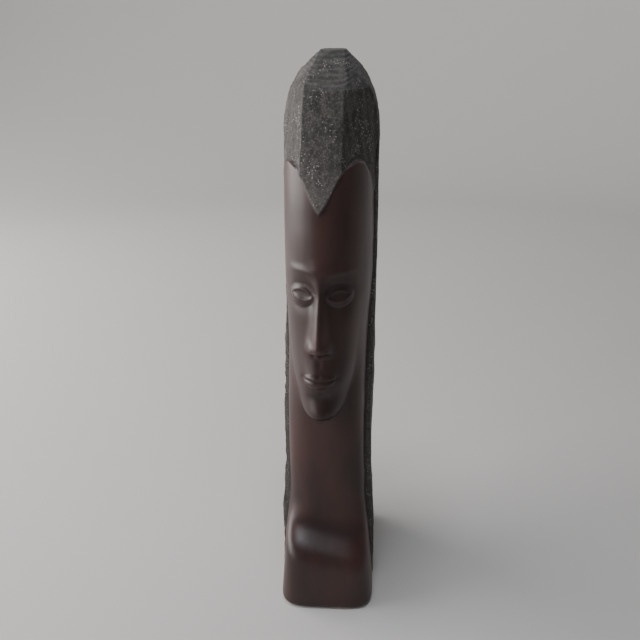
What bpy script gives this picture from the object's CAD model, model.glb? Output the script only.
"""The looks of the tall narrow bust: satin brown skin on the face, neck and chest, and rough, gritty hair cut
with a chisel, which stands up as a ridged crown and falls as a wall behind the neck.

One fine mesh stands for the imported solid. It is the same loft of level sections, with many more of them, and
the tool marks, chips and grit are then carved into it along its normals. All lengths are in metres."""

import itertools
import math

import bpy
import numpy as np
from mathutils import Matrix, Vector


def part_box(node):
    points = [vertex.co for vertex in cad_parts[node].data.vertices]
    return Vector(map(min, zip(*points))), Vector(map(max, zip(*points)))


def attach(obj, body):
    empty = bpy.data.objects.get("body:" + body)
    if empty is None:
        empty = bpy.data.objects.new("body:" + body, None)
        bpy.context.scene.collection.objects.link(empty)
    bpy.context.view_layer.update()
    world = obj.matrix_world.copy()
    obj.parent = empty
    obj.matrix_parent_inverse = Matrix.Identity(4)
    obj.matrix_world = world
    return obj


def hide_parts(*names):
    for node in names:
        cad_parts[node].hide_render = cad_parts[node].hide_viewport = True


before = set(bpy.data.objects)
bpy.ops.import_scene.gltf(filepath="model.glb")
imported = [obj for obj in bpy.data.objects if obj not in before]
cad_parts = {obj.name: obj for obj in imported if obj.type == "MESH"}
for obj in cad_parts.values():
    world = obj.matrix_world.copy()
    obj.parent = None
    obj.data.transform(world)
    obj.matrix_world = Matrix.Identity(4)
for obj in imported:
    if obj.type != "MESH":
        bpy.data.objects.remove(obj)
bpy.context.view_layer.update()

MM = 0.001

# Overall size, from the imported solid
LOW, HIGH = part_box("bust")
WIDTH, DEPTH, HEIGHT = HIGH - LOW

# Chest block and neck
CHEST_HEIGHT = 58 * MM
CHEST_INSET = 5 * MM
FOOT_INSET = 0.5 * MM
CHEST_POWER = 5.25
SHELF_RISE = 24 * MM
SHELF_LEAN = 0.2
NECK_WIDTH = 65.5 * MM
NECK_SETBACK = 29 * MM
FOOT_ROUND = 5 * MM
BACK_CORNER = 15 * MM
BACK_TAPER = 3.5 * MM
BACK_FULLNESS = 0.8 * MM
EDGE_ROUND = 0.8 * MM

# Head and hair
HEAD_WIDTH = 76 * MM
HAIR_PROUD = 1.3 * MM
HAIR_STEP = 1.2 * MM
SIDE_SHARE = 0.4
SIDE_PROUD = 0.3 * MM
FACET_WIDTH = 30.5 * MM
FACET_BOW = 1.3 * MM
FACET_TURN = math.radians(25)
SIDE_LEAST = 1.5 * MM
CROWN_WIDTH = 19 * MM
CROWN_POWER = 3.4
CROWN_RISE = 26 * MM
HEAD_TURN = math.radians(5)

# The hair's front at its middle, as shares of the depth: at the peak, at the crown's foot and at the top
PEAK_FRONT = -0.412
CROWN_FRONT = -0.245
TOP_FRONT = 0.08

# Ridges across the crown's front: their number, depth, waver, and droop beyond a flat middle
RIDGES = 8
RIDGE_DEPTH = 0.6 * MM
RIDGE_WOBBLE = 0.9 * MM
RIDGE_DROOP = 0.035 / MM
RIDGE_FLAT = 10 * MM

# How square the level sections of neck and face are (2 is an ellipse, and more is squarer), how far the jaw
# blends into the neck, and how many points a section is measured along
NECK_POWER = 2.6
FACE_POWER = 2.25
JAW_BLEND = 2.5 * MM
SECTION_POINTS = 400

# Proportions of the figure
CHIN = 0.375 * HEIGHT
HEAD = HEIGHT - CHIN
THIRD = 0.22 * HEAD
NOSE_BASE = CHIN + THIRD
BROW = CHIN + 2 * THIRD
PEAK = CHIN + 0.61 * HEAD
TEMPLE = CHIN + 0.727 * HEAD
CROWN = HEIGHT - CROWN_RISE
EYE = BROW - 0.26 * THIRD
MOUTH = NOSE_BASE - 0.34 * THIRD
EYE_WIDTH = HEAD_WIDTH / 5
EYE_OUT = 0.97 * EYE_WIDTH
PART = HEAD_WIDTH / 76
JAW_FOOT = CHIN - 0.04 * THIRD

# Where the half section's cuts end, as shares of its two stretches
FACET_END = 0.2
SIDE_END = 0.86
WALL_SIDE_END = 0.5
WALL_CORNER_END = 0.76

# Tool marks and grit: each cut's size across, front to back and up
SIDE_SCOOP = np.array([7.0, 9.0, 30.0]) * MM
FRONT_SCOOP = np.array([9.0, 9.0, 15.0]) * MM
BACK_SCOOP = np.array([10.0, 12.0, 46.0]) * MM
SCOOP_DEPTH = 1.0 * MM
SCOOP_MEAN = 0.45
CHIP_LENGTH = 9.0 * MM
CHIP_DEPTH = 1.1 * MM
CHIP_REACH = 2.6 * MM
GRIT_SIZE = 1.7 * MM
GRIT_HEIGHT = 0.16 * MM
RANDOM_CELLS = 24

# Colours of the fired clay and the paper, as linear red, green and blue with alpha
SKIN_DARK = (0.022, 0.0085, 0.0075, 1.0)
SKIN_LIGHT = (0.044, 0.0155, 0.013, 1.0)
SKIN_STREAK = (0.040, 0.019, 0.017, 1.0)
SKIN_HOLLOW = (0.017, 0.009, 0.009, 1.0)
HAIR_DARK = (0.023, 0.0215, 0.020, 1.0)
HAIR_LIGHT = (0.059, 0.0545, 0.050, 1.0)
HAIR_RUBBED = (0.150, 0.138, 0.130, 1.0)
HAIR_RAISED = (0.130, 0.120, 0.113, 1.0)
HAIR_CREST = (0.120, 0.111, 0.104, 1.0)
HAIR_HOLLOW = (0.016, 0.015, 0.014, 1.0)
SAND_DARK = (0.018, 0.017, 0.016, 1.0)
SAND_LIGHT = (0.170, 0.158, 0.149, 1.0)
GLINT = (0.45, 0.425, 0.40, 1.0)
GLINT_SIZE = 1.15 * MM
PALE_PAPER = (0.52, 0.51, 0.50, 1.0)

# The camera, from the photograph: its turn, dip and roll, then its place from the middle of the underside
CAMERA_TURN = math.radians(3.5)
CAMERA_DIP = math.radians(21.27)
CAMERA_ROLL = math.radians(-0.25)
CAMERA_SIDE = 8.5 * MM
CAMERA_BACK = 657 * MM
CAMERA_HEIGHT = 497.3 * MM

# The lens's focal length and the picture's width in pixels, and the sensor's width in millimetres
LENS_PIXELS = 829
PICTURE_PIXELS = 640
SENSOR_MM = 36.0


def ramp(low, high, value):
    """0 up to low, 1 from high on, and smooth between them; low may be the larger one."""
    share = np.clip((value - low) / (high - low), 0.0, 1.0)
    return share * share * (3.0 - 2.0 * share)


def mound(value, middle, reach):
    """1 at the middle, falling away smoothly to nearly 0 at twice the reach."""
    return np.exp(-(((value - middle) / reach) ** 2))


def line(stations, at):
    """A smooth curve through a few (place, value) stations that never swings past them."""
    places, values = (np.array(column, float) for column in zip(*stations))
    gaps = np.diff(places)
    slopes = np.diff(values) / gaps
    turns = np.zeros(len(places))
    turns[0], turns[-1] = slopes[0], slopes[-1]
    for i in range(1, len(places) - 1):
        if slopes[i - 1] * slopes[i] > 0:
            before = 2 * gaps[i] + gaps[i - 1]
            after = gaps[i] + 2 * gaps[i - 1]
            turns[i] = (before + after) / (before / slopes[i - 1] + after / slopes[i])
    at = np.clip(at, places[0], places[-1])
    i = np.clip(np.searchsorted(places, at, side="right") - 1, 0, len(gaps) - 1)
    gap, t = gaps[i], (at - places[i]) / gaps[i]
    return (
        (1 + 2 * t) * (1 - t) ** 2 * values[i]
        + t * (1 - t) ** 2 * gap * turns[i]
        + t * t * (3 - 2 * t) * values[i + 1]
        + t * t * (t - 1) * gap * turns[i + 1]
    )


# The form, as the solid has it


def crown_line(z):
    """The front of the ridged cut, which slopes back to the top."""
    return DEPTH * (CROWN_FRONT + (TOP_FRONT - CROWN_FRONT) * (z - CROWN) / CROWN_RISE)


def hair_front(z):
    """The hair's front at the middle: a leaning cut, and the ridged cut over it."""
    lean = DEPTH * (PEAK_FRONT + (CROWN_FRONT - PEAK_FRONT) * (z - PEAK) / (CROWN - PEAK))
    return np.maximum(lean, crown_line(z))


def neck_front(z):
    """The chest's front, its shelf, and the neck over it, slightly hollowed half way up."""
    shelf = 0.5 + 0.5 * np.tanh((z - CHEST_HEIGHT) / (0.4 * SHELF_RISE))
    throat = 0.012 * DEPTH * mound(z, 0.5 * (CHEST_HEIGHT + CHIN), 0.2 * CHIN)
    return -DEPTH / 2 + NECK_SETBACK * shelf + throat


def face_front(z):
    """The face at its middle, without nose and lips."""
    stations = [
        (JAW_FOOT, -0.290),
        (CHIN, -0.345),
        (CHIN + 0.06 * THIRD, -0.390),
        (CHIN + 0.16 * THIRD, -0.424),
        (CHIN + 0.38 * THIRD, -0.412),
        (MOUTH, -0.428),
        (NOSE_BASE, -0.412),
        (NOSE_BASE + 0.45 * THIRD, -0.396),
        (EYE, -0.388),
        (BROW, -0.404),
        (BROW + 0.4 * THIRD, -0.410),
        (PEAK, -0.400),
        (HEIGHT, -0.235),
    ]
    return DEPTH * line(stations, z)


def face_half(z):
    """Half the face's width where it meets the hair behind it."""
    stations = [
        (JAW_FOOT, 0.20),
        (CHIN + 0.06 * THIRD, 0.42),
        (CHIN + 0.2 * THIRD, 0.56),
        (CHIN + 0.5 * THIRD, 0.70),
        (NOSE_BASE, 0.82),
        (NOSE_BASE + 0.5 * THIRD, 0.90),
        (BROW, 0.935),
        (TEMPLE, 0.93),
    ]
    return HEAD_WIDTH / 2 * line(stations, z)


def neck_half(z):
    chest = WIDTH / 2 - line([(0, FOOT_INSET), (CHEST_HEIGHT, CHEST_INSET)], z)
    slim = ramp(CHEST_HEIGHT - 0.3 * SHELF_RISE, CHEST_HEIGHT + 1.7 * SHELF_RISE, z)
    return chest + (NECK_WIDTH / 2 - chest) * slim


def hair_half(z):
    """Half the width of the hair, which closes over the temple as an arch with a flat top."""
    wall, head = WIDTH / 2, HEAD_WIDTH / 2
    side = line([(0, wall), (0.35 * CHIN, wall), (0.7 * CHIN, head), (HEIGHT, head)], z)
    arch = np.clip((z - TEMPLE) / (HEIGHT - TEMPLE), 0.0, 1.0) ** CROWN_POWER
    return side - (head - CROWN_WIDTH / 2) * arch


def back_line(z):
    stations = [
        (0, 0.5),
        (0.4 * CHIN, 0.5),
        (CHIN, 0.462),
        (NOSE_BASE, 0.458),
        (BROW, 0.482),
        (PEAK, 0.496),
        (TEMPLE + 0.1 * HEAD, 0.462),
        (CROWN, 0.40),
        (HEIGHT - 0.3 * CROWN_RISE, 0.30),
        (HEIGHT, 0.21),
    ]
    return DEPTH * line(stations, z)


def edge_line(z):
    """How far back the skin ends and the hair begins, and a seam through the hair above it."""
    stations = [
        (0, -0.170),
        (CHEST_HEIGHT, -0.165),
        (0.6 * CHIN, -0.150),
        (CHIN, -0.105),
        (NOSE_BASE, -0.02),
        (BROW, 0.03),
        (TEMPLE, 0.02),
        (CROWN, 0.06),
        (HEIGHT, 0.145),
    ]
    return DEPTH * line(stations, z)


def rounded_quarter(y, front, back, half, power):
    """Half the width at y of a section that is 0 wide at its front and widest at its back."""
    share = np.clip((back - y) / (back - front), 0.0, 1.0)
    return half * (1.0 - share**power) ** (1.0 / power)


def skin_half_section(z, shares):
    """Points on the skin at height z, at shares of the way from the front's middle to the hair's edge."""
    edge = edge_line(z)
    block = 1.0 - ramp(CHEST_HEIGHT - 0.6 * SHELF_RISE, CHEST_HEIGHT + 1.4 * SHELF_RISE, z)
    has_face = z > JAW_FOOT
    front = min(neck_front(z), face_front(z)) if has_face else neck_front(z)
    y = edge - (edge - front) * np.cos(np.linspace(0.0, math.pi / 2, SECTION_POINTS))
    power = NECK_POWER + (CHEST_POWER - NECK_POWER) * block
    x = rounded_quarter(y, neck_front(z), edge, neck_half(z), power)
    if has_face:
        face = rounded_quarter(y, face_front(z), edge, face_half(z), FACE_POWER)
        blend = np.maximum(JAW_BLEND - np.abs(x - face), 0.0) ** 2 / (4 * JAW_BLEND)
        x = np.maximum(x, face) + blend
    x[0] = 0.0
    gone = np.concatenate([[0.0], np.cumsum(np.hypot(np.diff(x), np.diff(y)))])
    return np.interp(shares, gone / gone[-1], x), np.interp(shares, gone / gone[-1], y)


def hair_half_section(z, shares):
    """The same stretch as cuts: a slightly bowed one in front, a slanting one, and one back to the edge."""
    half, front, edge = hair_half(z), hair_front(z), edge_line(z)
    facet = line([(CROWN + 0.35 * CROWN_RISE, FACET_WIDTH / 2), (HEIGHT, 0.48 * CROWN_WIDTH)], z)
    corner = min(front + (half - facet) / math.tan(FACET_TURN), edge - SIDE_LEAST)
    cuts = [0.0, FACET_END, SIDE_END, 1.0]
    x = np.interp(shares, cuts, [0.0, facet, half, half])
    y = np.interp(shares, cuts, [front, front, corner, edge])
    bow = FACET_BOW * np.minimum(shares / FACET_END, 1.0) ** 2 * ramp(1.0, SIDE_END, shares)
    return x, y + bow


def hairline(shares):
    """The height at which the hair begins, from the peak on the forehead, over the temple, to the side."""
    stations = [
        (0.0, 0.0),
        (0.03, 0.009),
        (0.09, 0.038),
        (0.15, 0.072),
        (0.2, 0.0935),
        (0.3, 0.113),
        (0.45, 0.123),
        (0.55, 0.118),
        (0.65, 0.095),
        (0.86, 0.042),
        (1.0, 0.018),
    ]
    return PEAK + HEAD * line(stations, shares)


# The face's carving


def nose(x, z):
    rise = line(
        [
            (NOSE_BASE - 0.06 * THIRD, 0.0),
            (NOSE_BASE, 3.0 * PART),
            (NOSE_BASE + 0.05 * THIRD, 9.5 * PART),
            (NOSE_BASE + 0.14 * THIRD, 12.0 * PART),
            (NOSE_BASE + 0.5 * THIRD, 7.6 * PART),
            (BROW - 0.18 * THIRD, 3.8 * PART),
            (BROW, 2.4 * PART),
            (BROW + 0.25 * THIRD, 0.0),
        ],
        z,
    )
    half = line(
        [
            (NOSE_BASE, 7.6 * PART),
            (NOSE_BASE + 0.2 * THIRD, 6.6 * PART),
            (BROW - 0.25 * THIRD, 4.6 * PART),
            (BROW, 5.6 * PART),
            (BROW + 0.25 * THIRD, 9.0 * PART),
        ],
        z,
    )
    wings = 3.6 * PART * mound(x, 7.4 * PART, 2.9 * PART) * mound(z, NOSE_BASE + 0.10 * THIRD, 4.8 * PART)
    nostrils = 1.8 * PART * mound(x, 4.2 * PART, 1.9 * PART) * mound(z, NOSE_BASE, 1.9 * PART)
    return rise * np.exp(-((x / half) ** 2.4)) + wings - nostrils


def eye(x, z):
    """Socket, eyeball and lids of one eye, with the crease over them."""
    across = (x - EYE_OUT) / (EYE_WIDTH / 2)
    middle = EYE + 0.8 * PART * across
    almond = np.clip(1 - across**2, 0.0, 1.0) ** 0.75
    upper = middle + 4.1 * PART * almond
    lower = middle - 2.8 * PART * almond
    outside = np.maximum(z - upper, lower - z)
    beside = np.maximum(np.abs(across) - 1.0, 0.0) * EYE_WIDTH / 2
    outside = np.hypot(np.maximum(outside, 0.0), beside) + np.minimum(outside, 0.0)
    socket = 4.6 * PART * mound(x, 0.84 * EYE_OUT, 8.5 * PART) * mound(z, EYE + 1.5 * PART, 10.5 * PART)
    ball = np.clip(1 - ((x - EYE_OUT) / (10.5 * PART)) ** 2 - ((z - EYE) / (9.5 * PART)) ** 2, 0.0, 1.0)
    lids = 0.9 * PART * mound(outside, 0.9 * PART, 1.1 * PART)
    opening = 0.5 * PART * ramp(0.3 * PART, -0.6 * PART, outside)
    crease = 0.6 * PART * mound(z, upper + 3.4 * PART, 0.9 * PART) * mound(x, EYE_OUT, 0.55 * EYE_WIDTH)
    return 4.2 * PART * ball**0.75 + lids - opening - crease - socket


def brow(x, z):
    arch = BROW + 0.02 * THIRD + 0.05 * THIRD * np.cos((x - 17 * PART) / (11 * PART))
    length = ramp(0.0, 9 * PART, x) * ramp(32 * PART, 20 * PART, x)
    return 1.7 * PART * mound(z, arch, 3.6 * PART) * length


def pad(z, low, high):
    """A cushion from low to high with steep rims, 1 at its middle."""
    return np.sqrt(np.clip(1 - ((2 * z - low - high) / np.maximum(high - low, 0.1 * MM)) ** 2, 0.0, 1.0))


def mouth(x, z):
    half = 0.84 * EYE_WIDTH
    within = np.sqrt(np.clip(1 - (x / half) ** 2, 0.0, 1.0))
    parting = MOUTH + 0.8 * PART * (x / half) ** 2 - 0.5 * PART * mound(x, 0.0, 3 * PART)
    top = parting + within * (5.4 * PART - 1.1 * PART * mound(x, 0.0, 1.9 * PART))
    bottom = parting - 6.4 * PART * within
    swell = 1.4 * PART * mound(z, parting, 7 * PART) * within
    lips = np.maximum(1.5 * PART * pad(z, parting, top), 2.0 * PART * pad(z, bottom, parting)) * within**0.5
    groove = 0.8 * PART * mound(z, parting, 0.9 * PART) * ramp(1.1, 0.9, x / half)
    corner = 0.9 * PART * mound(x, 1.04 * half, 2 * PART) * mound(z, parting, 2.2 * PART)
    above = 0.5 * (NOSE_BASE + MOUTH) + 3 * PART
    philtrum = 0.5 * PART * mound(x, 0.0, 2 * PART) * mound(z, above, 3.5 * PART)
    return swell + lips - groove - corner - philtrum


def cheeks_and_chin(x, z):
    bone = 1.6 * PART * mound(x, 24 * PART, 8 * PART) * mound(z, NOSE_BASE + 0.5 * THIRD, 0.26 * THIRD)
    arch = 1.2 * PART * mound(x, 0.0, 15 * PART) * mound(z, MOUTH, 0.22 * THIRD)
    chin = 2.0 * PART * mound(x, 0.0, 10 * PART) * mound(z, CHIN + 0.18 * THIRD, 0.13 * THIRD)
    fold = 1.4 * PART * mound(x, 0.0, 10 * PART) * mound(z, CHIN + 0.41 * THIRD, 0.06 * THIRD)
    return bone + arch + chin - fold


def front_half_section(z, shares):
    """The skin with its face and the hair above it, as x, y and how far each point lies inside the hair."""
    x_skin, y_skin = skin_half_section(z, shares)
    x_hair, y_hair = hair_half_section(z, shares)
    gone = np.concatenate([[0.0], np.cumsum(np.hypot(np.diff(x_skin), np.diff(y_skin)))])
    over = (z - hairline(shares)) / np.hypot(1.0, np.gradient(hairline(shares), gone))
    hair = ramp(-0.5 * HAIR_STEP, 0.5 * HAIR_STEP, over)
    if z > JAW_FOOT:
        relief = nose(x_skin, z) + eye(x_skin, z) + brow(x_skin, z)
        relief = relief + mouth(x_skin, z) + cheeks_and_chin(x_skin, z)
        y_skin = y_skin - relief * ramp(TEMPLE, PEAK, z)
    proud = HAIR_PROUD * ramp(CROWN, TEMPLE, z)
    x_hair = x_hair + SIDE_SHARE * proud * ramp(0.0, FACET_END, shares)
    y_hair = y_hair - proud * ramp(1.0, 0.6, shares)
    # By the temple and below it, the hair's side end lies almost flush with the skin
    flush = ramp(TEMPLE + 24 * MM, TEMPLE - 6 * MM, z) * ramp(0.5, SIDE_END, shares)
    x_hair = x_hair + (x_skin + SIDE_PROUD - x_hair) * flush
    x, y = x_skin + (x_hair - x_skin) * hair, y_skin + (y_hair - y_skin) * hair
    x[0] = 0.0
    return x, y, np.maximum(over, gone - gone[-1])


def wall_half_section(z, shares):
    """From the hair's edge to the middle of the back: a side, a round corner and a slightly full back."""
    half, back, start = hair_half(z), back_line(z), edge_line(z) + EDGE_ROUND
    corner = min(BACK_CORNER, 0.8 * half, 0.6 * (back - start))
    taper = min(BACK_TAPER, 0.1 * half)
    side = np.clip(shares / WALL_SIDE_END, 0.0, 1.0)
    turn = np.clip((shares - WALL_SIDE_END) / (WALL_CORNER_END - WALL_SIDE_END), 0.0, 1.0)
    rest = np.clip((shares - WALL_CORNER_END) / (1.0 - WALL_CORNER_END), 0.0, 1.0)
    x = half - taper * side - corner * (1 - np.cos(turn * math.pi / 2))
    x = x - (half - taper - corner) * rest
    y = start + (back - corner - start) * side + corner * np.sin(turn * math.pi / 2)
    y = y - BACK_FULLNESS * (1 - rest**2) * turn
    x[-1] = 0.0
    return x, y


def shares_of(*stretches):
    """Shares from 0 to 1 in stretches of (end, count)."""
    shares, start = [], 0.0
    for end, count in stretches:
        shares.append(np.linspace(start, end, count, endpoint=False))
        start = end
    return np.concatenate([*shares, [1.0]])


FRONT_SHARES = shares_of((FACET_END, 20), (SIDE_END, 44), (1.0, 9))
LIP_SHARES = np.array([0.25, 0.5, 0.75])
WALL_SHARES = shares_of((WALL_SIDE_END, 22), (WALL_CORNER_END, 10), (1.0, 9))


def half_section(z):
    """One level half section as x, y, the depth inside the hair, and nearness to the wall's front corner."""
    x_front, y_front, hair_front_part = front_half_section(z, FRONT_SHARES)
    x_wall, y_wall = wall_half_section(z, WALL_SHARES)
    x_lip = x_front[-1] + (x_wall[0] - x_front[-1]) * LIP_SHARES
    y_lip = y_front[-1] + (y_wall[0] - y_front[-1]) * LIP_SHARES
    x, y = np.concatenate([x_front, x_lip, x_wall]), np.concatenate([y_front, y_lip, y_wall])
    gone = np.concatenate([[0.0], np.cumsum(np.hypot(np.diff(x), np.diff(y)))])
    edge, corner = gone[len(x_front) - 1], gone[len(x_front) + len(x_lip)]
    hair = np.maximum(gone - edge, z - (TEMPLE + 2 * MM))
    hair[: len(x_front)] = hair_front_part
    if z < FOOT_ROUND:
        inset = FOOT_ROUND - math.sqrt(FOOT_ROUND**2 - (FOOT_ROUND - z) ** 2)
        x, y = x * (1 - 2 * inset / WIDTH), y * (1 - 2 * inset / DEPTH)
    return x, y, hair, mound(gone, corner, CHIP_REACH) * ramp(TEMPLE, BROW, z)


def levels():
    """The heights of the sections, closer together where the carving is finer."""
    stretches = [
        (0.0, FOOT_ROUND, 6),
        (FOOT_ROUND, CHEST_HEIGHT - 0.5 * SHELF_RISE, 20),
        (CHEST_HEIGHT - 0.5 * SHELF_RISE, CHEST_HEIGHT + SHELF_RISE, 20),
        (CHEST_HEIGHT + SHELF_RISE, JAW_FOOT - 0.01 * THIRD, 40),
        (JAW_FOOT - 0.01 * THIRD, CHIN + 0.2 * THIRD, 18),
        (CHIN + 0.2 * THIRD, MOUTH - 9 * PART, 12),
        (MOUTH - 9 * PART, NOSE_BASE + 0.25 * THIRD, 48),
        (NOSE_BASE + 0.25 * THIRD, EYE - 9 * PART, 16),
        (EYE - 9 * PART, BROW + 0.12 * THIRD, 36),
        (BROW + 0.12 * THIRD, PEAK - 2 * MM, 24),
        (PEAK - 2 * MM, TEMPLE + 2 * MM, 46),
        (TEMPLE + 2 * MM, CROWN, 40),
        (CROWN, HEIGHT, 84),
    ]
    heights = [np.linspace(low, high, count, endpoint=False) for low, high, count in stretches]
    return np.concatenate([*heights, [HEIGHT]])


# Tool marks, chips and grit


def soft_noise(points, size, seed):
    """A smooth random field from -1 to 1 with lumps of about this size."""
    cells = (RANDOM_CELLS, RANDOM_CELLS, RANDOM_CELLS)
    table = np.random.default_rng(seed).uniform(-1.0, 1.0, cells)
    at = points / size
    cell = np.floor(at).astype(int)
    part = at - cell
    part = part * part * (3.0 - 2.0 * part)
    total = np.zeros(len(points))
    for step in itertools.product((0, 1), repeat=3):
        weight = np.prod(np.where(step, part, 1.0 - part), axis=1)
        total += weight * table[tuple(((cell + step) % RANDOM_CELLS).T)]
    return total


def scoops(points, size, seed):
    """0 in the middle of each tool cut of about this size, up to 1 on the ridge where two cuts meet."""
    table = np.random.default_rng(seed).random((RANDOM_CELLS, RANDOM_CELLS, RANDOM_CELLS, 3))
    at = points / size
    cell = np.floor(at).astype(int)
    nearest = np.ones(len(points))
    for step in itertools.product((-1, 0, 1), repeat=3):
        other = cell + step
        away = at - other - table[tuple((other % RANDOM_CELLS).T)]
        nearest = np.minimum(nearest, (away**2).sum(axis=1))
    return nearest


def ridged_cut(points, normals):
    """1 on the crown's front, where the ridges run, fading over its sides."""
    x, z = points[:, 0], points[:, 2]
    front = ramp(CROWN - 2 * MM, CROWN + 4 * MM, z) * ramp(0.0, -0.3, normals[:, 1])
    return front * (0.2 + 0.8 * ramp(20 * MM, 11 * MM, np.abs(x)))


def ridges(points):
    """Scallops across the crown's front, which waver, droop at the sides and fade here and there."""
    x, z = points[:, 0], points[:, 2]
    wobble = RIDGE_WOBBLE * soft_noise(points, 9 * MM, seed=41)
    droop = RIDGE_DROOP * np.maximum(np.abs(x) - RIDGE_FLAT, 0.0) ** 2
    turn = np.clip((z + wobble - droop - CROWN) / CROWN_RISE, 0.0, 1.0) * RIDGES
    fade = ramp(-1.4, 0.2, soft_noise(points, 12 * MM, seed=43))
    return RIDGE_DEPTH * (0.5 - np.abs(np.sin(math.pi * turn))) * fade


def hair_relief(points, normals, corner, crown):
    """How far the rough hair stands out from its plain cuts, in metres."""
    front = ramp(-0.55, -0.8, normals[:, 1]) * (1 - crown)
    back = ramp(0.3, 0.8, normals[:, 1])
    side = (1 - front - back) * (1 - crown)
    cuts = side * (scoops(points, SIDE_SCOOP, seed=3) - SCOOP_MEAN)
    cuts += 0.35 * front * (scoops(points, FRONT_SCOOP, seed=5) - SCOOP_MEAN)
    cuts += back * (scoops(points, BACK_SCOOP, seed=7) - SCOOP_MEAN)
    coarse = soft_noise(points, 4 * GRIT_SIZE, seed=11) + soft_noise(points, 2 * GRIT_SIZE, seed=13)
    grit = 0.5 * coarse + soft_noise(points, GRIT_SIZE, seed=17)
    uneven = 0.35 * MM * soft_noise(points, 17 * MM, seed=19)
    long_chips = np.maximum(soft_noise(points, CHIP_LENGTH, seed=23), -0.15) + 0.15
    short_chips = 0.35 * soft_noise(points, 0.4 * CHIP_LENGTH, seed=29)
    chips = CHIP_DEPTH * corner * (long_chips + short_chips)
    rough = GRIT_HEIGHT * grit * (1 - 0.6 * crown)
    return SCOOP_DEPTH * cuts + rough + uneven - chips + ridges(points) * crown


def skin_relief(points):
    """The slight unevenness that rubbing down by hand leaves."""
    broad = 0.10 * MM * soft_noise(points, 21 * MM, seed=31)
    return broad + 0.03 * MM * soft_noise(points, 7 * MM, seed=37)


def grid_normals(grid):
    """Outward normals of a grid of rings, which close on themselves."""
    around = np.roll(grid, -1, axis=1) - np.roll(grid, 1, axis=1)
    upward = np.gradient(grid, axis=0)
    normals = np.cross(around, upward)
    return normals / np.maximum(np.linalg.norm(normals, axis=2, keepdims=True), 1e-12)


def posed(x, y, z):
    """A level ring's points, with the chest's top sloping to its left and the head turned to its right."""
    turn = HEAD_TURN * ramp(CHEST_HEIGHT, CHIN, z)
    slope = SHELF_LEAN * mound(z, CHEST_HEIGHT, SHELF_RISE) * ramp(0.0, 3 * FOOT_ROUND, z)
    across = x * math.cos(turn) + y * math.sin(turn)
    deep = y * math.cos(turn) - x * math.sin(turn)
    return np.stack([across, deep, z - slope * x], axis=1)


def full_rings():
    """Every ring, front middle round by +X to the front again, with its hair depth and corner nearness."""
    rings, hairs, corners = [], [], []
    for z in levels():
        x, y, hair, corner = half_section(float(z))
        # The way back repeats the half section in reverse, without its two ends on the middle line
        back = slice(-2, 0, -1)
        rings.append(posed(np.append(x, -x[back]), np.append(y, y[back]), z))
        hairs.append(np.append(hair, hair[back]))
        corners.append(np.append(corner, corner[back]))
    return np.array(rings), np.array(hairs), np.array(corners)


def carved_bust():
    """The bust's points, one ring to a row, and what its finish needs to know at each."""
    grid, hair, corner = full_rings()
    flat = grid.reshape(-1, 3)
    normals = grid_normals(grid).reshape(-1, 3)
    inside = ramp(0.0, 1.6 * MM, hair.ravel())
    foot = ramp(0.0, 5 * MM, flat[:, 2])
    crown = ridged_cut(flat, normals)
    rough = hair_relief(flat, normals, corner.ravel(), crown)
    relief = (rough * inside + skin_relief(flat) * (1 - inside)) * foot
    flat = flat + normals * relief[:, None]
    flat[:, 2] = np.clip(flat[:, 2], 0.0, HEIGHT)
    return flat.reshape(grid.shape), hair, (rough * inside).reshape(hair.shape), crown.reshape(hair.shape)


def hollowness(grid, reach):
    """How far each point lies in a hollow, from its neighbours this many rings and columns away."""
    rows = np.clip(np.arange(len(grid))[:, None] + [-reach, reach], 0, len(grid) - 1)
    around = np.roll(grid, reach, axis=1) + np.roll(grid, -reach, axis=1)
    mean = (grid[rows[:, 0]] + grid[rows[:, 1]] + around) / 4
    return ((mean - grid) * grid_normals(grid)).sum(axis=2)


def cap_rings(ring, count):
    """Rings that close a level end, shrinking towards its middle."""
    middle = ring.mean(axis=0)
    return [middle + (ring - middle) * (1 - (i + 1) / (count + 1)) for i in range(count)]


def bust_mesh():
    """The mesh: its rings joined by quads and closed at both ends, with the fields that its finish reads."""
    grid, hair, relief, crown = carved_bust()
    hollow = hollowness(grid, 3)
    top, bottom = cap_rings(grid[-1], 6), cap_rings(grid[0], 2)
    rings = [*bottom[::-1], *grid, *top]
    count = grid.shape[1]
    points = np.concatenate([*rings, [bottom[-1].mean(axis=0)], [top[-1].mean(axis=0)]])
    here = np.arange(count)
    beyond = (here + 1) % count
    faces = []
    for row in range(len(rings) - 1):
        low, high = row * count, (row + 1) * count
        faces += np.stack([low + here, low + beyond, high + beyond, high + here], axis=1).tolist()
    underside, summit = len(rings) * count, len(rings) * count + 1
    last = (len(rings) - 1) * count
    faces += [(underside, int(after), int(before)) for before, after in zip(here, beyond)]
    faces += [(summit, int(last + before), int(last + after)) for before, after in zip(here, beyond)]
    mesh = bpy.data.meshes.new("bust_skin_and_hair")
    mesh.from_pydata(points.tolist(), [], faces)
    mesh.shade_smooth()
    fields = {"hair_depth": hair / MM, "tool_relief": relief / MM, "hollow": hollow / MM, "ridged": crown}
    for name, field in fields.items():
        ends = [np.repeat(field[:1], len(bottom), axis=0), field, np.repeat(field[-1:], len(top), axis=0)]
        values = np.append(np.concatenate(ends).ravel(), [field[0].mean(), field[-1].mean()])
        attribute = mesh.attributes.new(name, "FLOAT", "POINT")
        attribute.data.foreach_set("value", values.astype(np.float32))
    return mesh


# Finishes


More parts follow.
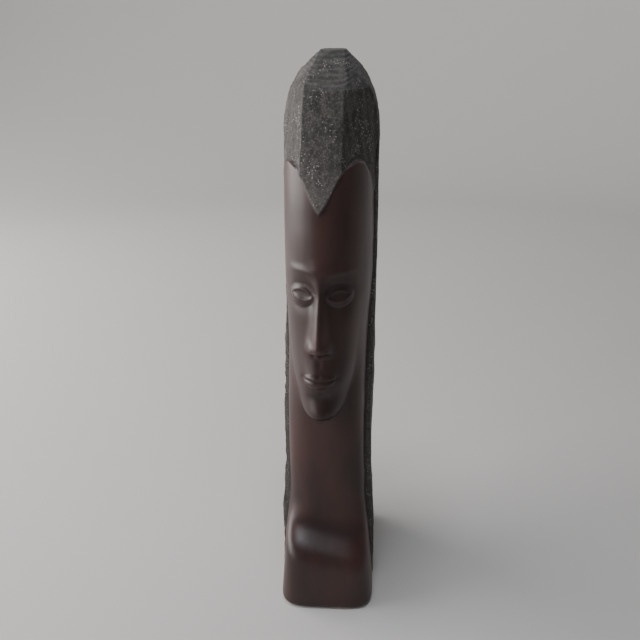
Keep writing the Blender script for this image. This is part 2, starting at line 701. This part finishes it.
class Value:
    """A socket that holds a number. Arithmetic on it adds Math nodes to its finish."""

    def __init__(self, finish, socket):
        self.finish = finish
        self.socket = socket

    def math(self, operation, *others):
        sockets = dict(enumerate([self, *others]))
        return self.finish.add("ShaderNodeMath", {"operation": operation}, sockets)

    def __add__(self, other):
        return self.math("ADD", other)

    def __sub__(self, other):
        return self.math("SUBTRACT", other)

    def __rsub__(self, other):
        return (self * -1) + other

    def __mul__(self, other):
        return self.math("MULTIPLY", other)

    def rise(self, low, high):
        """The same as ramp, as a node."""
        settings = {"interpolation_type": "SMOOTHSTEP", "clamp": True}
        sockets = {"Value": self, "From Min": low, "From Max": high}
        return self.finish.add("ShaderNodeMapRange", settings, sockets)

    __radd__ = __add__
    __rmul__ = __mul__


class Finish:
    """One material and the nodes that make it."""

    def __init__(self, name):
        self.material = bpy.data.materials.new(name)
        self.material.use_nodes = True
        self.tree = self.material.node_tree
        self.surface = self.tree.nodes["Principled BSDF"]

    def add(self, kind, settings, sockets, output=0):
        """A node with its settings, then its sockets' values or links, as its output."""
        node = self.tree.nodes.new(kind)
        for name, value in settings.items():
            setattr(node, name, value)
        self.set(node, sockets)
        return Value(self, node.outputs[output])

    def set(self, node, sockets):
        for name, value in sockets.items():
            if isinstance(value, Value):
                self.tree.links.new(value.socket, node.inputs[name])
            else:
                node.inputs[name].default_value = value

    def place(self, stretch=(1.0, 1.0, 1.0)):
        """The point on the bust, in metres; a stretch under 1 draws a pattern out along its axis."""
        at = self.add("ShaderNodeTexCoord", {}, {}, "Object")
        return self.add("ShaderNodeVectorMath", {"operation": "MULTIPLY"}, {0: at, 1: stretch})

    def noise(self, size, stretch=(1.0, 1.0, 1.0), detail=2.0):
        """Noise around 0.5 with lumps of this size in metres."""
        sockets = {"Vector": self.place(stretch), "Scale": 1 / size, "Detail": detail}
        return self.add("ShaderNodeTexNoise", {}, sockets)

    def grains(self, size, output):
        """Grains of this size: Distance from a grain's middle, or Color, its own random colour."""
        return self.add("ShaderNodeTexVoronoi", {}, {"Vector": self.place(), "Scale": 1 / size}, output)

    def height(self):
        """Height over the table, in metres."""
        return self.add("ShaderNodeSeparateXYZ", {}, {"Vector": self.place()}, "Z")

    def field(self, name):
        """A value that bust_mesh gave to the mesh under this name."""
        return self.add("ShaderNodeAttribute", {"attribute_name": name}, {}, "Fac")

    def mix(self, share, first, second):
        """A colour share of the way from the first to the second."""
        settings = {"data_type": "RGBA"}
        return self.add("ShaderNodeMix", settings, {"Factor": share, 6: first, 7: second}, 2)

    def between(self, share, first, second):
        """A number share of the way from the first to the second."""
        return first + share * (second - first)


def skin_colour(clay, streaks, hollow):
    """Dark red-brown in broad patches, with upright rubbing streaks, and darker in the hollows."""
    broad = clay.noise(34 * MM, (1.0, 1.0, 0.45), 3.0).rise(0.38, 0.66)
    colour = clay.mix(broad, SKIN_DARK, SKIN_LIGHT)
    colour = clay.mix(streaks.rise(0.35, 0.75) * 0.35, colour, SKIN_STREAK)
    return clay.mix(hollow.rise(0.05, 0.7) * 0.75, colour, SKIN_HOLLOW)


def glinting_grains(clay):
    """1 on the pale grains, which are rare, but crowd together in patches."""
    rare, crowded = 0.975, 0.20
    chosen = clay.add("ShaderNodeSeparateColor", {}, {"Color": clay.grains(GLINT_SIZE, "Color")}, "Red")
    patches = clay.noise(19 * MM, detail=2.0).rise(0.50, 0.64)
    body = clay.grains(GLINT_SIZE, "Distance").rise(0.46, 0.24)
    return (chosen - rare + patches * crowded).rise(0.0, 0.03) * body


def hair_colour(clay, grains, hollow):
    """Charcoal with dust, sand and pale grains, lighter on raised places and over the forehead."""
    relief, ridged = clay.field("tool_relief"), clay.field("ridged")
    dust = clay.noise(5 * MM, (1.0, 1.0, 0.5), 5.0).rise(0.36, 0.68)
    sand = clay.noise(1.4 * MM, detail=3.0)
    sandy = 1 - ridged * 0.6
    forehead = clay.height().rise(TEMPLE + 20 * MM, PEAK)
    colour = clay.mix(dust, HAIR_DARK, HAIR_LIGHT)
    colour = clay.mix(forehead * 0.35, colour, HAIR_RUBBED)
    colour = clay.mix(relief.rise(-0.2, 0.5) * 0.30, colour, HAIR_RAISED)
    colour = clay.mix(sand.rise(0.50, 0.32) * 0.55 * sandy, colour, SAND_DARK)
    colour = clay.mix(sand.rise(0.52, 0.70) * 0.45 * sandy, colour, SAND_LIGHT)
    colour = clay.mix(hollow.rise(-0.05, -0.22) * ridged * 0.10, colour, HAIR_CREST)
    colour = clay.mix(hollow.rise(0.02, 0.22) * 0.4, colour, HAIR_HOLLOW)
    return clay.mix(grains * 0.75, colour, GLINT)


def fired_clay():
    """Satin brown skin, rough grey hair with glinting grains, and a crisp uneven line between them."""
    clay = Finish("fired_clay")
    inside = clay.field("hair_depth") + (clay.noise(2.2 * MM) - 0.5) * 0.9
    hair = inside.rise(-0.1, 0.35)
    hollow = clay.field("hollow")
    streaks = clay.noise(3.5 * MM, (1.0, 1.0, 0.10), 3.0)
    grains = glinting_grains(clay)

    colour = clay.mix(hair, skin_colour(clay, streaks, hollow), hair_colour(clay, grains, hollow))
    skin_gloss = clay.between(clay.noise(11 * MM, (1.0, 1.0, 0.3)), 0.35, 0.47)
    hair_gloss = clay.between(grains, 0.86, 0.35)
    roughness = clay.between(hair, skin_gloss, hair_gloss)

    grit = clay.noise(1.1 * MM, detail=4.0) * 0.5 + clay.grains(1.3 * MM, "Distance") * -0.35 + grains * 0.3
    height = clay.between(hair, streaks * 0.03, grit)
    bump = clay.add("ShaderNodeBump", {}, {"Height": height, "Strength": 0.8, "Distance": 0.6 * MM})
    clay.set(clay.surface, {"Base Color": colour, "Roughness": roughness, "Normal": bump})
    return clay.material


def plain(name, colour, roughness):
    """One colour all over."""
    finish = Finish(name)
    finish.set(finish.surface, {"Base Color": colour, "Roughness": roughness})
    return finish.material


# The studio


def add_object(name, data):
    made = bpy.data.objects.new(name, data)
    bpy.context.scene.collection.objects.link(made)
    return made


def studio_cove():
    """A pale round floor that curves up into a plain wall, far enough out to walk round the bust."""
    reach, bend, tall, sides = 2.4, 0.9, 3.0, 96
    profile = []
    for turn in np.linspace(0.0, math.pi / 2, 24):
        profile.append((reach - bend + bend * math.sin(turn), bend - bend * math.cos(turn)))
    profile.append((reach, tall))
    around = np.arange(sides) * 2 * math.pi / sides
    points = [(0.0, 0.0, 0.0)]
    for away, z in profile:
        points += [(away * math.sin(turn), -away * math.cos(turn), z) for turn in around]
    here = np.arange(sides)
    beyond = (here + 1) % sides
    faces = [(0, 1 + int(before), 1 + int(after)) for before, after in zip(here, beyond)]
    for ring in range(len(profile) - 1):
        low, high = 1 + ring * sides, 1 + (ring + 1) * sides
        faces += np.stack([low + here, high + here, high + beyond, low + beyond], axis=1).tolist()
    mesh = bpy.data.meshes.new("studio_cove")
    mesh.from_pydata(points, [], faces)
    mesh.shade_smooth()
    cove = add_object("studio_cove", mesh)
    mesh.materials.append(plain("pale_paper", PALE_PAPER, 0.9))


def soft_box(name, place, aim, size, watts, colour):
    """A rectangular light at a place, turned towards another."""
    data = bpy.data.lights.new(name, "AREA")
    data.shape = "RECTANGLE"
    data.size, data.size_y = size
    data.energy = watts
    data.color = colour
    light = add_object(name, data)
    light.location = place
    light.rotation_euler = (Vector(aim) - Vector(place)).to_track_quat("-Z", "Y").to_euler()


def lights():
    """A wide and a narrow light at the figure's right, weak fills over and before it, and a backdrop wash."""
    soft_box(
        "window",
        place=(-1.4, 0.15, 0.65),
        aim=(0.0, 0.1, 0.25),
        size=(1.9, 1.1),
        watts=47.0,
        colour=(1.0, 0.965, 0.95),
    )
    soft_box(
        "doorway",
        place=(-0.95, -0.95, 0.3),
        aim=(0.0, 0.0, 0.3),
        size=(0.22, 1.0),
        watts=3.0,
        colour=(1.0, 0.98, 0.98),
    )
    soft_box(
        "ceiling",
        place=(-0.06, -0.2, 1.3),
        aim=(0.0, 0.0, 0.1),
        size=(0.3, 0.3),
        watts=6.5,
        colour=(0.90, 0.94, 1.0),
    )
    soft_box(
        "front_wall",
        place=(0.15, -1.5, 0.95),
        aim=(0.0, 0.0, 0.2),
        size=(1.6, 1.4),
        watts=0.7,
        colour=(1.0, 0.99, 0.98),
    )
    soft_box(
        "backdrop_wash",
        place=(0.0, 1.1, 1.7),
        aim=(0.0, 2.4, 0.3),
        size=(2.4, 0.5),
        watts=14.0,
        colour=(1.0, 0.985, 0.97),
    )


def room_light():
    """A dim, even fill."""
    world = bpy.data.worlds.new("room")
    world.use_nodes = True
    background = world.node_tree.nodes["Background"]
    background.inputs["Color"].default_value = (0.95, 0.97, 1.0, 1.0)
    background.inputs["Strength"].default_value = 0.03
    bpy.context.scene.world = world


def camera():
    """The photograph's view: the camera looks along its turn, dips down, and leans by its roll."""
    turn, dip, roll = CAMERA_TURN, CAMERA_DIP, CAMERA_ROLL
    forward = Vector((-math.sin(turn), math.cos(turn), 0.0))
    right = Vector((math.cos(turn), math.sin(turn), 0.0))
    up = Vector((0.0, 0.0, 1.0))
    look = math.cos(dip) * forward - math.sin(dip) * up
    above = math.sin(dip) * forward + math.cos(dip) * up
    across = math.cos(roll) * right + math.sin(roll) * above
    above = -math.sin(roll) * right + math.cos(roll) * above
    data = bpy.data.cameras.new("camera")
    data.sensor_width = SENSOR_MM
    data.lens = data.sensor_width * LENS_PIXELS / PICTURE_PIXELS
    data.clip_start = 0.01
    made = add_object("camera", data)
    turned = Matrix((across, above, -look)).transposed().to_4x4()
    place = -CAMERA_SIDE * right - CAMERA_BACK * forward + CAMERA_HEIGHT * up
    made.matrix_world = Matrix.Translation(place) @ turned
    bpy.context.scene.camera = made


def main():
    camera()
    bust = add_object("carved_bust", bust_mesh())
    bust.data.materials.append(fired_clay())
    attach(bust, "root")
    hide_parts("bust")
    studio_cove()
    lights()
    room_light()


main()
